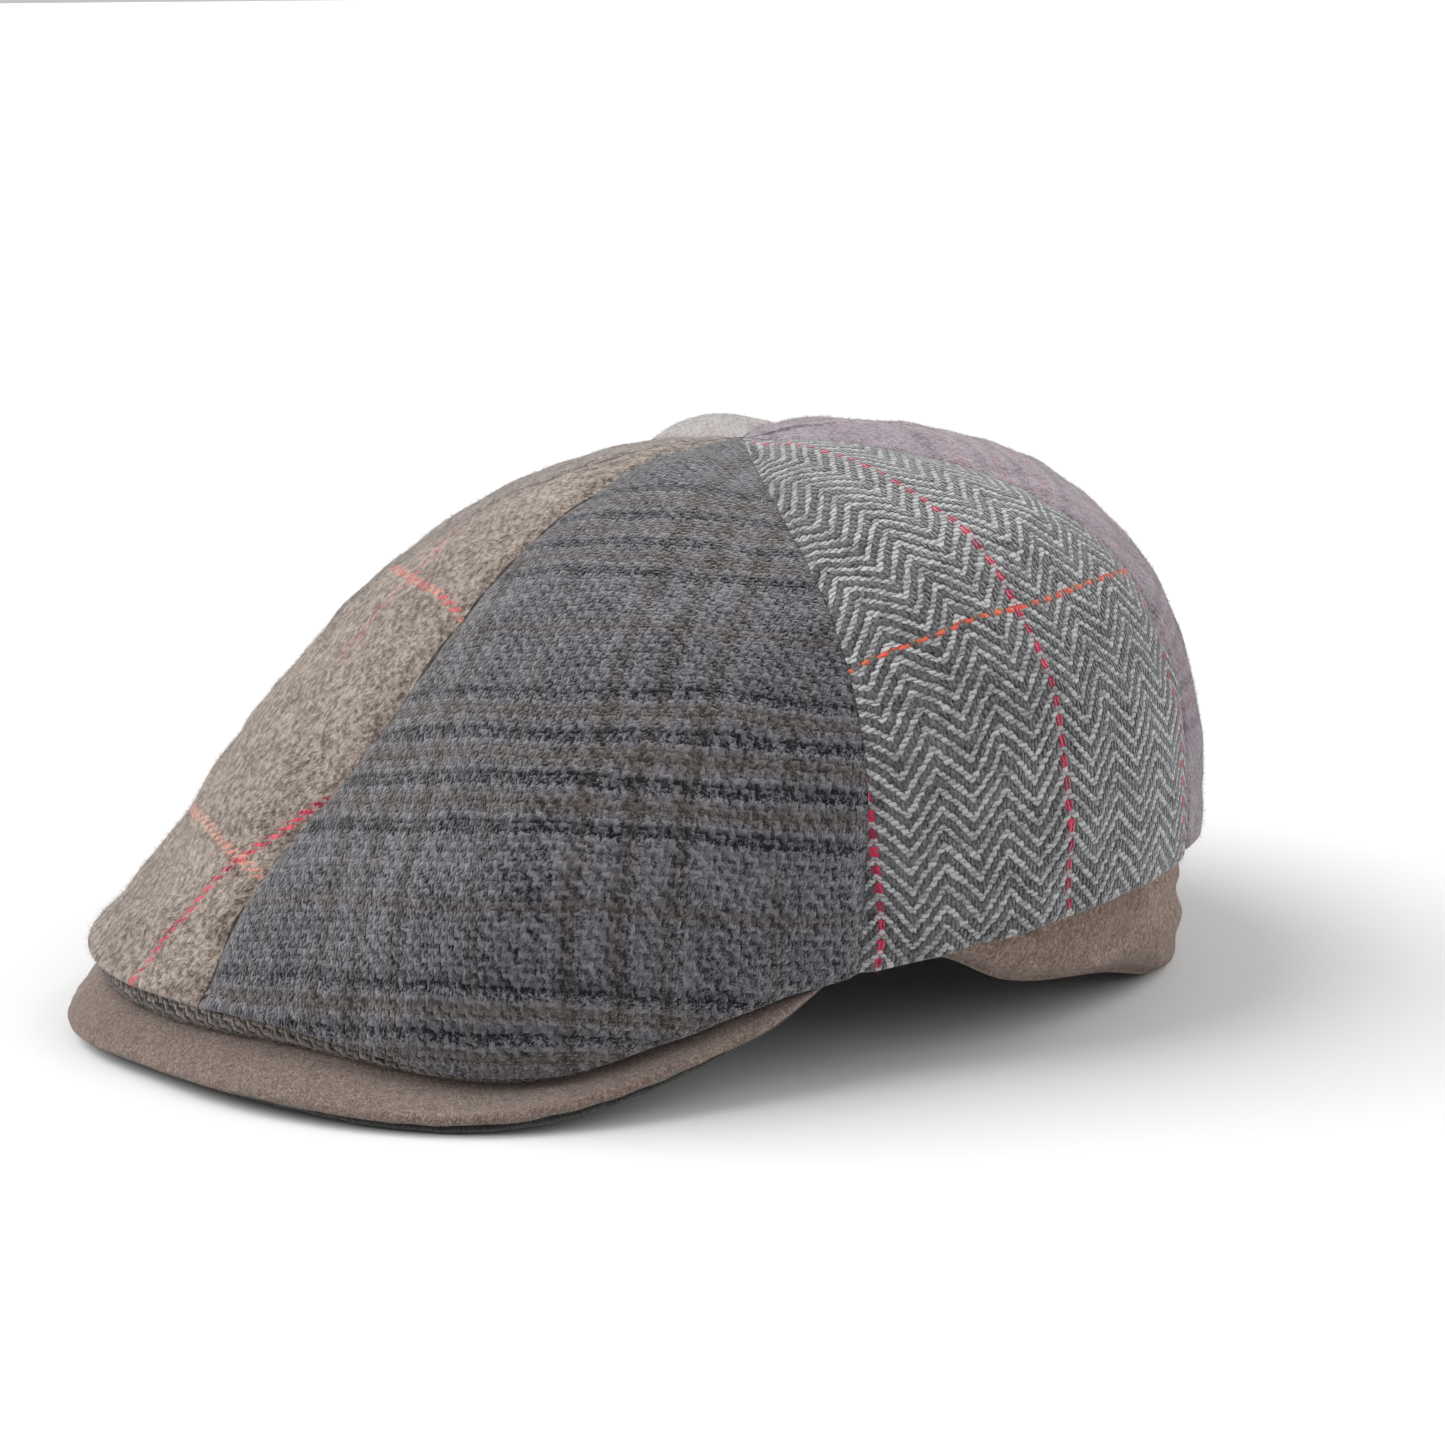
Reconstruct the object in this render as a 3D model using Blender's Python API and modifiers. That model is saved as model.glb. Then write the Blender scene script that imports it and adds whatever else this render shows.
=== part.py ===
"""Patchwork flat cap: six crown panels, a back band, a front welt and a stiff peak.

Metres, +Z up. The cap rests on z = 0 with its peak towards -Y, and the wearer's left is +X.
Angles go round the apex, where the panels meet, in degrees: 0 is the front, 90 the wearer's
left and 180 the back. A run goes down the crown, from 0 at the apex to 1 at its lower edge.
"""

import math
from collections import namedtuple

import bpy
from mathutils import Vector

# Driving sizes of the crown, seen from above and from the side
CROWN_HEIGHT = 0.114
FRONT_REACH = 0.142
BACK_REACH = 0.095
HALF_WIDTH = 0.089

# Peak and head opening
PEAK_REACH = 0.012
BROW_REACH = 0.1025
BROW_HALF_WIDTH = 0.080
PEAK_END_ANGLE = 80.0
SEAT_ACROSS = 0.35

# Back band and front welt
BAND_REACH = 0.093
BAND_START_ANGLE = 92.0
WELT_SET_BACK = 0.0035
WELT_END_ANGLE = 50.0
TUCK_GAP = 0.0005

# Cloth
PANEL_WALL = 0.0022
BAND_WALL = 0.0022
WELT_WALL = 0.0012
PEAK_BOARD = 0.0024
UNDERSIDE_WALL = 0.0014
UNDERSIDE_INSET = 0.0008

# Seams
SEAM_GAP = 0.0004
PIECE_GAP = 0.0003
SEAM_DEPTH = 0.0022
SEAM_SPREAD = 0.009
SEAM_SHARE_BELOW = 0.55
EDGE_FLATTENING = 0.75
TIP_WIDTH = 0.0006

# How finely each piece is divided
PANEL_RUNS = 15
PANEL_COLUMNS = 12
BAND_COLUMNS = 32
WELT_COLUMNS = 30
PEAK_COLUMNS = 38
PEAK_ROWS_ACROSS = 7

# Pieces tucked inside the crown reach up by one of its rows
TUCK_RUN = 1 / (PANEL_RUNS - 1)

# reach is a share of the reach at that angle, top_run a share of reach, bulge of HALF_WIDTH,
# edge_height and flank of CROWN_HEIGHT
CrownRow = namedtuple("CrownRow", "angle reach edge_height top_run bulge flank")
CROWN_ROWS = [
    CrownRow(0, 1.000, 0.158, 0.55, -0.235, 0.125),
    CrownRow(22, 0.959, 0.150, 0.57, -0.18, 0.235),
    CrownRow(45, 0.967, 0.084, 0.335, 0.157, 0.572),
    CrownRow(68, 0.970, 0.174, 0.338, 0.104, 0.533),
    CrownRow(92, 1.015, 0.228, 0.50, 0.08, 0.660),
    CrownRow(120, 1.095, 0.290, 0.56, 0.045, 0.640),
    CrownRow(150, 1.045, 0.294, 0.57, 0.01, 0.608),
    CrownRow(180, 1.000, 0.280, 0.68, 0.027, 0.622),
]

# The angle of each seam on the wearer's left at five runs. The right side mirrors its side seam, but
# its front seam stands further round and its back seam less far round.
SeamRow = namedtuple("SeamRow", "run front side back right_front right_back")
SEAM_ROWS = [
    SeamRow(0.00, 12.0, 71.0, 143.5, 12.0, 122.0),
    SeamRow(0.30, 16.8, 76.0, 141.5, 20.5, 124.5),
    SeamRow(0.55, 18.0, 80.5, 139.5, 25.0, 127.5),
    SeamRow(0.80, 13.2, 82.3, 135.5, 17.0, 130.0),
    SeamRow(1.00, 15.0, 81.0, 132.5, 15.0, 131.0),
]

# reach is a share of PEAK_REACH; rim, seat (under the crown's edge) and brow are heights of the
# peak's top as shares of CROWN_HEIGHT; wall thins the peak towards its ends
PeakRow = namedtuple("PeakRow", "angle reach rim seat brow wall")
PEAK_ROWS = [
    PeakRow(0, 0.50, 0.033, 0.088, 0.130, 1.0),
    PeakRow(10, 0.38, 0.035, 0.089, 0.130, 1.0),
    PeakRow(22, 0.62, 0.040, 0.092, 0.130, 1.0),
    PeakRow(45, 0.60, 0.043, 0.060, 0.112, 1.0),
    PeakRow(66, 0.22, 0.121, 0.145, 0.153, 0.8),
    PeakRow(80, 0.08, 0.194, 0.196, 0.194, 0.25),
]

# reach is a share of BAND_REACH and hem a height as a share of CROWN_HEIGHT; the hem is
# flattened where it would reach below the surface that the cap rests on
BandRow = namedtuple("BandRow", "angle reach hem")
BAND_ROWS = [
    BandRow(90, 0.93, 0.214),
    BandRow(105, 0.94, 0.134),
    BandRow(125, 0.97, 0.085),
    BandRow(148, 1.01, -0.006),
    BandRow(180, 0.985, -0.006),
]

# Soft dents (negative depth) and swells: place, then half sizes as shares of HALF_WIDTH, and
# depth as a share of SEAM_DEPTH
DentRow = namedtuple("DentRow", "angle run across along depth")
DENT_ROWS = [
    DentRow(0, 0.78, 0.30, 0.12, -0.8),
    DentRow(40, 0.62, 0.40, 0.20, -0.5),
    DentRow(-40, 0.62, 0.40, 0.20, -0.5),
    DentRow(112, 0.72, 0.30, 0.20, -0.5),
    DentRow(-112, 0.72, 0.30, 0.20, -0.5),
]

# Colour of each piece as linear red, green and blue
COLOURS = {
    "front_panel": (0.262, 0.205, 0.162),
    "left_front_panel": (0.107, 0.112, 0.141),
    "left_rear_panel": (0.205, 0.216, 0.216),
    "rear_panel": (0.352, 0.283, 0.342),
    "right_rear_panel": (0.515, 0.456, 0.376),
    "right_front_panel": (0.061, 0.061, 0.070),
    "rear_band": (0.216, 0.162, 0.122),
    "front_welt": (0.188, 0.156, 0.127),
    "peak_top": (0.305, 0.223, 0.181),
    "peak_underside": (0.045, 0.048, 0.042),
}
CLOTH_ROUGHNESS = 0.95


def hermite(places, values, place):
    """A smooth curve through the values, level at both ends."""
    last = len(places) - 1
    steps = [places[i + 1] - places[i] for i in range(last)]
    slopes = [(values[i + 1] - values[i]) / steps[i] for i in range(last)]
    tangents = [0.0] * (last + 1)
    for i in range(1, last):
        blend = slopes[i - 1] * steps[i] + slopes[i] * steps[i - 1]
        tangents[i] = blend / (steps[i - 1] + steps[i])
    place = min(max(place, places[0]), places[-1])
    i = max(k for k in range(last) if places[k] <= place)
    t = (place - places[i]) / steps[i]
    start = (2 * t**3 - 3 * t**2 + 1) * values[i] + (t**3 - 2 * t**2 + t) * steps[i] * tangents[i]
    end = (3 * t**2 - 2 * t**3) * values[i + 1] + (t**3 - t**2) * steps[i] * tangents[i + 1]
    return start + end


def column(rows, name, angle):
    """One column of a table, read at any angle; both sides of the cap are alike."""
    angle = abs((angle + 180) % 360 - 180)
    return hermite([row[0] for row in rows], [getattr(row, name) for row in rows], angle)


def seam_angle(name, run):
    return hermite([row.run for row in SEAM_ROWS], [getattr(row, name) for row in SEAM_ROWS], run)


def parabola(start, middle, end, share, middle_share):
    """The parabola from start to end that passes its middle value at middle_share."""
    left = 1 - middle_share
    pull = (middle - left**2 * start - middle_share**2 * end) / (2 * middle_share * left)
    return (1 - share) ** 2 * start + 2 * share * (1 - share) * pull + share**2 * end


def direction(angle):
    """The level direction that leaves the apex at this angle."""
    return Vector((math.sin(math.radians(angle)), -math.cos(math.radians(angle)), 0))


def local_reach(angle):
    """The reach that the named sizes give at this angle, before a row's share."""
    cosine = math.cos(math.radians(angle))
    end = FRONT_REACH if cosine > 0 else BACK_REACH
    return end * cosine**2 + HALF_WIDTH * (1 - cosine**2)


def crown_reach(angle):
    return column(CROWN_ROWS, "reach", angle) * local_reach(angle)


def crown_edge_height(angle):
    return column(CROWN_ROWS, "edge_height", angle) * CROWN_HEIGHT


def crown_profile(angle, run):
    """Reach and height down one side of the crown: a Bezier curve from apex to lower edge."""
    reach = crown_reach(angle)
    edge = crown_edge_height(angle)
    bulge = column(CROWN_ROWS, "bulge", angle) * HALF_WIDTH
    flank = column(CROWN_ROWS, "flank", angle) * CROWN_HEIGHT
    top_run = column(CROWN_ROWS, "top_run", angle) * reach
    left = 1 - run
    weights = (left**3, 3 * left**2 * run, 3 * left * run**2, run**3)
    reaches = (0.0, top_run, reach + bulge, reach)
    heights = (CROWN_HEIGHT, CROWN_HEIGHT, edge + flank, edge)
    return (
        sum(w * r for w, r in zip(weights, reaches)),
        sum(w * h for w, h in zip(weights, heights)),
    )


def apex_place():
    """The apex stands where the cap's middle, from peak to back, falls on the origin."""
    front = crown_reach(0) + column(PEAK_ROWS, "reach", 0) * PEAK_REACH
    back = max(crown_profile(180, k / 40)[0] for k in range(41))
    return Vector((0, (front - back) / 2, 0))


APEX = apex_place()


def plain_crown(angle, run):
    reach, height = crown_profile(angle, run)
    return APEX + direction(angle) * reach + Vector((0, 0, height))


def crown_normal(angle, run):
    """The outward normal of the plain crown, from two short steps."""
    run = max(run, 0.02)
    down = plain_crown(angle, min(run + 0.01, 1)) - plain_crown(angle, run - 0.01)
    around = plain_crown(angle + 0.5, run) - plain_crown(angle - 0.5, run)
    return down.cross(around).normalized()


def seam_distance(angle, run):
    """How far along the cloth the nearest seam lies."""
    turn = (angle + 180) % 360 - 180
    gaps = [abs(abs(turn) - seam_angle("side", run))]
    gaps += [abs(turn - seam_angle(name, run)) for name in ("front", "back")]
    gaps += [abs(turn + seam_angle(name, run)) for name in ("right_front", "right_back")]
    return math.radians(min(gaps)) * crown_profile(angle, run)[0]


def edge_fade(run):
    """The swell between seams dies away towards the sewn lower edge."""
    return 1 - EDGE_FLATTENING * run**4


def relief(angle, run):
    """How far the cloth stands out: it swells between the seams and has a few dents."""
    swell = 1 - math.exp(-((seam_distance(angle, run) / SEAM_SPREAD) ** 2))
    height = SEAM_DEPTH * (swell - SEAM_SHARE_BELOW) * edge_fade(run)
    reach = crown_profile(angle, run)[0]
    for dent in DENT_ROWS:
        turn = (angle - dent.angle + 180) % 360 - 180
        across = math.radians(turn) * reach / (dent.across * HALF_WIDTH)
        along = (run - dent.run) * crown_reach(angle) / (dent.along * HALF_WIDTH)
        height += dent.depth * SEAM_DEPTH * math.exp(-(across**2) - along**2)
    return height


def crown_surface(angle, run):
    """A point of the crown's outer face."""
    return plain_crown(angle, run) + crown_normal(angle, run) * relief(angle, run)


def inside_crown(angle, run):
    """A point just inside the panels' walls, where the band and the welt are tucked."""
    seam_floor = SEAM_DEPTH * SEAM_SHARE_BELOW * edge_fade(run)
    return plain_crown(angle, run) - crown_normal(angle, run) * (seam_floor + PANEL_WALL + TUCK_GAP)


def brow_reach(angle):
    """The peak's inner edge, an oval round the forehead."""
    across = math.sin(math.radians(angle)) / BROW_HALF_WIDTH
    along = math.cos(math.radians(angle)) / BROW_REACH
    return 1 / math.hypot(across, along)


def peak_rim_reach(angle):
    return crown_reach(angle) + column(PEAK_ROWS, "reach", angle) * PEAK_REACH


def peak_surface(angle, across):
    """The top of the peak, from its rim (across 0) to the forehead (across 1)."""
    rim = (peak_rim_reach(angle), column(PEAK_ROWS, "rim", angle) * CROWN_HEIGHT)
    seat = (crown_reach(angle) - WELT_SET_BACK, column(PEAK_ROWS, "seat", angle) * CROWN_HEIGHT)
    brow = (brow_reach(angle), column(PEAK_ROWS, "brow", angle) * CROWN_HEIGHT)
    reach, height = (
        parabola(*three, across, SEAT_ACROSS) for three in zip(rim, seat, brow)
    )
    return APEX + direction(angle) * reach + Vector((0, 0, height))


def peak_normal(angle, across):
    across = min(max(across, 0.01), 0.99)
    inward = peak_surface(angle, across + 0.01) - peak_surface(angle, across - 0.01)
    around = peak_surface(angle + 0.5, across) - peak_surface(angle - 0.5, across)
    return around.cross(inward).normalized()


def spaced(count, start, end):
    return [start + (end - start) * k / (count - 1) for k in range(count)]


def eased(count):
    """Shares from 0 to 1 that lie closer together near both ends."""
    return [0.5 - 0.5 * math.cos(math.pi * share) * (0.6 + 0.4 * abs(math.cos(math.pi * share)))
            for share in spaced(count, 0, 1)]


def tip_run(start_seam, end_seam):
    """Where a panel's point is just wide enough to keep its gap to both neighbours."""
    wedge = math.radians(end_seam(0) - start_seam(0))
    reach = (TIP_WIDTH + SEAM_GAP) / wedge
    return next(k / 1000 for k in range(1, 200) if crown_profile(90, k / 1000)[0] > reach)


def panel_grid(start_seam, end_seam):
    """Rows of points from a panel's tip to its lower edge, between its two seams."""
    tip = tip_run(start_seam, end_seam)
    rows = []
    for step in spaced(PANEL_RUNS, 0, 1):
        run = tip + (1 - tip) * step
        half_gap = math.degrees(SEAM_GAP / 2 / crown_profile(90, run)[0])
        start = start_seam(run) + half_gap
        end = end_seam(run) - half_gap
        rows.append([crown_surface(start + (end - start) * share, run)
                     for share in eased(PANEL_COLUMNS)])
    return rows


def band_grid():
    """The back band: tucked up inside the crown's edge, then down to its hem."""
    columns = []
    for angle in spaced(BAND_COLUMNS, BAND_START_ANGLE, 360 - BAND_START_ANGLE):
        tucked = inside_crown(angle, 1 - TUCK_RUN)
        edge = inside_crown(angle, 1)
        hem_height = max(column(BAND_ROWS, "hem", angle) * CROWN_HEIGHT, 0)
        hem = APEX + direction(angle) * column(BAND_ROWS, "reach", angle) * BAND_REACH
        hem.z = hem_height
        waist = hem.copy()
        waist.z = hem_height + 0.45 * (edge.z - hem_height)
        middle = edge.lerp(waist, 0.5)
        columns.append([tucked, edge, middle, waist, hem])
    return [list(row) for row in zip(*columns)]


def welt_foot(angle):
    """Where the welt meets the peak, clear of the peak's rise behind it."""
    seat = peak_surface(angle, SEAT_ACROSS)
    width = peak_rim_reach(angle) - brow_reach(angle)
    behind = peak_surface(angle, SEAT_ACROSS + WELT_WALL / width)
    seat.z = max(seat.z, behind.z) + PIECE_GAP
    return seat


def welt_grid():
    """The welt: from inside the crown's front edge down to the top of the peak."""
    columns = []
    for angle in spaced(WELT_COLUMNS, -WELT_END_ANGLE, WELT_END_ANGLE):
        tucked = inside_crown(angle, 1 - TUCK_RUN)
        edge = inside_crown(angle, 1)
        foot = welt_foot(angle)
        columns.append([tucked, edge, edge.lerp(foot, 0.5), foot])
    return [list(row) for row in zip(*columns)]


def peak_wall_share(angle):
    return column(PEAK_ROWS, "wall", angle)


def peak_grid(rim_inset, sink):
    """Rows from rim to forehead; sink(angle) is how far below the peak's top they lie."""
    rows = []
    for share in spaced(PEAK_ROWS_ACROSS, 0, 1):
        row = []
        for angle in spaced(PEAK_COLUMNS, -PEAK_END_ANGLE, PEAK_END_ANGLE):
            start = rim_inset / (peak_rim_reach(angle) - brow_reach(angle))
            across = start + (1 - start) * share
            row.append(peak_surface(angle, across) - peak_normal(angle, across) * sink(angle))
        rows.append(row)
    return rows


def cloth_material(name):
    material = bpy.data.materials.new(name)
    material.use_nodes = True
    shader = material.node_tree.nodes["Principled BSDF"]
    shader.inputs["Base Color"].default_value = (*COLOURS[name], 1)
    shader.inputs["Roughness"].default_value = CLOTH_ROUGHNESS
    shader.inputs["Metallic"].default_value = 0.0
    return material


def cloth_piece(name, grid, wall, collection, wall_shares=None):
    """An open sheet through the grid, with its wall inside it. Rows run down or inwards."""
    width = len(grid[0])
    faces = []
    for i in range(len(grid) - 1):
        for j in range(width - 1):
            corner = i * width + j
            faces.append((corner, corner + width, corner + width + 1, corner + 1))
    mesh = bpy.data.meshes.new(name)
    mesh.from_pydata([point for row in grid for point in row], [], faces)
    mesh.shade_smooth()
    mesh.materials.append(cloth_material(name))
    piece = bpy.data.objects.new(name, mesh)
    collection.objects.link(piece)
    solidify = piece.modifiers.new("wall", "SOLIDIFY")
    solidify.thickness = wall
    solidify.offset = -1
    if wall_shares:
        group = piece.vertex_groups.new(name="wall")
        for index, share in enumerate(wall_shares):
            group.add([index], share, "REPLACE")
        solidify.vertex_group = group.name
    return piece


def left(name):
    return lambda run: seam_angle(name, run)


def right(name):
    return lambda run: -seam_angle(name, run)


def right_from_behind(name):
    return lambda run: 360 - seam_angle(name, run)


def make_crown(collection):
    panels = {
        "front_panel": (right("right_front"), left("front")),
        "left_front_panel": (left("front"), left("side")),
        "left_rear_panel": (left("side"), left("back")),
        "rear_panel": (left("back"), right_from_behind("right_back")),
        "right_rear_panel": (right("right_back"), right("side")),
        "right_front_panel": (right("side"), right("right_front")),
    }
    for name, seams in panels.items():
        cloth_piece(name, panel_grid(*seams), PANEL_WALL, collection)


def make_band_and_welt(collection):
    cloth_piece("rear_band", band_grid(), BAND_WALL, collection)
    cloth_piece("front_welt", welt_grid(), WELT_WALL, collection)


def make_peak(collection):
    angles = spaced(PEAK_COLUMNS, -PEAK_END_ANGLE, PEAK_END_ANGLE)
    shares = [peak_wall_share(angle) for angle in angles] * PEAK_ROWS_ACROSS
    top = peak_grid(0.0, lambda angle: 0.0)
    under = peak_grid(UNDERSIDE_INSET, lambda angle: PEAK_BOARD * peak_wall_share(angle) + PIECE_GAP)
    # The peak's rows run inwards, so they are turned round to face up
    cloth_piece("peak_top", [row[::-1] for row in top], PEAK_BOARD, collection, shares)
    cloth_piece("peak_underside", [row[::-1] for row in under], UNDERSIDE_WALL, collection, shares)


def main():
    for item in list(bpy.data.objects):
        bpy.data.objects.remove(item, do_unlink=True)
    collection = bpy.data.collections.new("flat_cap")
    bpy.context.scene.collection.children.link(collection)
    make_crown(collection)
    make_band_and_welt(collection)
    make_peak(collection)


main()
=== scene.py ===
"""Looks of the patchwork flat cap: woollen panels, back band, front welt and stiff peak.

Metres, +Z up. The cap rests on z = 0 with its peak towards -Y, and the wearer's left is +X.
Angles go round the apex in degrees: 0 is the front, 90 the wearer's left and 180 the back.
A run goes down the crown, from 0 at the apex to 1 at its lower edge.
"""

import math
from collections import namedtuple
from functools import partial

import bpy
import numpy as np
from mathutils import Matrix, Vector

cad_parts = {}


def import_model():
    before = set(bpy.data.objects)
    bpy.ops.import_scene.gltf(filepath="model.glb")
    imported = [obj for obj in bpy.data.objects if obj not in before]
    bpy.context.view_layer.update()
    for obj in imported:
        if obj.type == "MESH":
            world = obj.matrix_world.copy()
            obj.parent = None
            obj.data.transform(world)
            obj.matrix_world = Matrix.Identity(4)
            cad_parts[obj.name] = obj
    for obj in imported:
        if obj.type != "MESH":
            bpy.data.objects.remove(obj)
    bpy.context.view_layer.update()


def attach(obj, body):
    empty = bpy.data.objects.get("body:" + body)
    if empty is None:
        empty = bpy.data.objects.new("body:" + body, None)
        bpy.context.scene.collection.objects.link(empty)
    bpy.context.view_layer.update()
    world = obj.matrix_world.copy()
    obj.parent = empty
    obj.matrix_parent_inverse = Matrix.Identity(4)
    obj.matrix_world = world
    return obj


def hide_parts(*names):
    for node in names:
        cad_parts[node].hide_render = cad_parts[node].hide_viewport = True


# Driving sizes of the crown, the peak and the head opening
CROWN_HEIGHT = 0.114
FRONT_REACH = 0.142
BACK_REACH = 0.095
HALF_WIDTH = 0.089
PEAK_REACH = 0.012
BROW_REACH = 0.1025
BROW_HALF_WIDTH = 0.080
PEAK_END_ANGLE = 80.0
SEAT_ACROSS = 0.35
BAND_REACH = 0.093
BAND_START_ANGLE = 92.0
WELT_END_ANGLE = 50.0
WELT_SET_BACK = 0.0035

# Cloth walls
PANEL_WALL = 0.0022
BAND_WALL = 0.0022
WELT_WALL = 0.0012
PEAK_BOARD = 0.0024
UNDERSIDE_WALL = 0.0014
UNDERSIDE_INSET = 0.0008
PIECE_GAP = 0.0003

# Seams: a valley with a soft swell on both sides
SEAM_GAP = 0.0001
SEAM_VALLEY = 0.0011
SEAM_HALF_WIDTH = 0.0016
VALLEY_START_RUN = 0.15
SWELL = 0.0022
SWELL_SHARE_BELOW = 0.55
SWELL_SPREAD = 0.009
EDGE_FLATTENING = 0.75

# Soft unevenness of worn wool: height and length of its waves, and the run over which it sets in
RIPPLE = 0.00032
RIPPLE_LENGTH = 0.014
RIPPLE_WAVES = 14
RIPPLE_START_RUN = 0.1
WELT_RIPPLE = 0.0002
WELT_RIPPLE_LENGTH = 0.004
PEAK_RIPPLE = 0.00012
PEAK_RIPPLE_LENGTH = 0.007

# The back band starts inside the crown's lower edge, is drawn in at its waist and rolls in at its hem
BAND_SET_IN = 0.0012
BAND_OVERLAP = 0.006
BAND_WAIST = 0.0012
BAND_WAIST_PACE = 1.2
BAND_ROLL = 0.0045
BAND_ROLL_SHARE = 0.3
HEM_CLEARANCE = 0.00005

# The band's level creases: their height, the share of it left at the hem, how far apart they lie, and
# the waves they follow round the band, each with its size in radians and its turns per radian
BAND_CREASE = 0.0006
HEM_CREASE_SHARE = 0.15
CREASE_STEP = 0.0105
CREASE_WAVES = [(1.4, 3.1), (0.9, 7.3)]

# The welt starts above the crown's lower edge, ends above the peak and bulges out between them
WELT_OVERLAP = 0.0012
WELT_CLEARANCE = 0.0009
WELT_SET_IN = 0.0034
WELT_BULGE = 0.0022

# How far the peak's cloth coordinates go from its rim to the forehead
PEAK_CLOTH_LENGTH = 0.04

# How far the rim of the peak's thin ends is drawn in under the crown, and over how many degrees
PEAK_END_TUCK = 0.006
PEAK_TUCK_SPREAD = 11

# How far apart the crown's points lie, how many the other pieces have round the cap and down their
# walls, and where the panels' tips start
CLOTH_STEP = 0.0011
FOLD_STEPS = 6
ROUND_STEPS = 260
BAND_STEPS = 46
WELT_STEPS = 16
PEAK_STEPS = 38
PEAK_EASING = 0.8
PANEL_EASING = 0.35
PANEL_TIP_RUN = 0.004

# Steps for measuring a profile, a panel and its middle line, and the short steps that give a slope
PROFILE_STEPS = 41
PANEL_MEASURE_STEPS = 200
MIDDLE_LINE_STEPS = 101
SHORT_RUN = 0.01
SHORT_ANGLE = 0.5

# Seeds of the unevenness; each panel's seed is its place in PANELS
BAND_SEED = 31
WELT_SEED = 17
PEAK_TOP_SEED = 51
PEAK_UNDERSIDE_SEED = 52

# reach is a share of the reach at that angle, top_run a share of reach, bulge of HALF_WIDTH,
# edge_height and flank of CROWN_HEIGHT
CrownRow = namedtuple("CrownRow", "angle reach edge_height top_run bulge flank")
CROWN_ROWS = [
    CrownRow(0, 1.000, 0.158, 0.55, -0.235, 0.125),
    CrownRow(22, 0.959, 0.150, 0.57, -0.18, 0.235),
    CrownRow(45, 0.967, 0.084, 0.335, 0.157, 0.572),
    CrownRow(68, 0.970, 0.174, 0.338, 0.104, 0.533),
    CrownRow(92, 1.015, 0.228, 0.50, 0.08, 0.660),
    CrownRow(120, 1.095, 0.290, 0.56, 0.045, 0.640),
    CrownRow(150, 1.045, 0.294, 0.57, 0.01, 0.608),
    CrownRow(180, 1.000, 0.280, 0.68, 0.027, 0.622),
]

# The angle of each seam on the wearer's left at five runs. The right side mirrors its side seam, but
# its front seam stands further round and its back seam less far round.
SeamRow = namedtuple("SeamRow", "run front side back right_front right_back")
SEAM_ROWS = [
    SeamRow(0.00, 12.0, 71.0, 143.5, 12.0, 122.0),
    SeamRow(0.30, 16.8, 76.0, 141.5, 20.5, 124.5),
    SeamRow(0.55, 18.0, 80.5, 139.5, 25.0, 127.5),
    SeamRow(0.80, 13.2, 82.3, 135.5, 17.0, 130.0),
    SeamRow(1.00, 15.0, 81.0, 132.5, 15.0, 131.0),
]

# reach is a share of PEAK_REACH; rim, seat and brow are heights of the peak's top as shares of
# CROWN_HEIGHT; wall thins the peak towards its ends
PeakRow = namedtuple("PeakRow", "angle reach rim seat brow wall")
PEAK_ROWS = [
    PeakRow(0, 0.50, 0.033, 0.088, 0.130, 1.0),
    PeakRow(10, 0.38, 0.035, 0.089, 0.130, 1.0),
    PeakRow(22, 0.62, 0.040, 0.092, 0.130, 1.0),
    PeakRow(45, 0.60, 0.043, 0.060, 0.112, 1.0),
    PeakRow(66, 0.22, 0.121, 0.145, 0.153, 0.8),
    PeakRow(80, 0.08, 0.194, 0.196, 0.194, 0.25),
]

# reach is a share of BAND_REACH and hem a height as a share of CROWN_HEIGHT
BandRow = namedtuple("BandRow", "angle reach hem")
BAND_ROWS = [
    BandRow(90, 0.93, 0.214),
    BandRow(105, 0.94, 0.134),
    BandRow(125, 0.97, 0.085),
    BandRow(148, 1.01, -0.006),
    BandRow(180, 0.985, -0.006),
]

# Soft dents (negative depth) and swells: place, half sizes as shares of HALF_WIDTH, and depth
# as a share of SWELL
DentRow = namedtuple("DentRow", "angle run across along depth")
DENT_ROWS = [
    DentRow(0, 0.78, 0.30, 0.12, -0.8),
    DentRow(40, 0.62, 0.40, 0.20, -0.5),
    DentRow(-40, 0.62, 0.40, 0.20, -0.5),
    DentRow(112, 0.72, 0.30, 0.20, -0.5),
    DentRow(-112, 0.72, 0.30, 0.20, -0.5),
]

# The camera at the photograph's angle to the cap
CAMERA_AZIMUTH = 67.03
CAMERA_ELEVATION = 14.17
CAMERA_DISTANCE = 0.6168
CAMERA_ROLL = 0.47
CAMERA_LENS = 72.16
CAMERA_SENSOR = 36.0
CAMERA_CLIP = (0.01, 1000)
TARGET_BEHIND_MIDDLE = 0.00333
TARGET_HEIGHT = 0.055
TARGET_RIGHT = 0.01665
TARGET_UP = -0.00195

# A white sky over a pale floor, and three soft suns: the angle and elevation they shine from, their
# spread in degrees and their strength
SKY_STRENGTH = 0.55
FLOOR_SHADE = 0.62
FLOOR_SIZE = 200
Sun = namedtuple("Sun", "name angle elevation spread strength")
SUNS = [
    Sun("key", -22, 48, 55, 3.4),
    Sun("fill", -50, 24, 50, 1.0),
    Sun("back", 155, 35, 60, 1.9),
]


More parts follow.
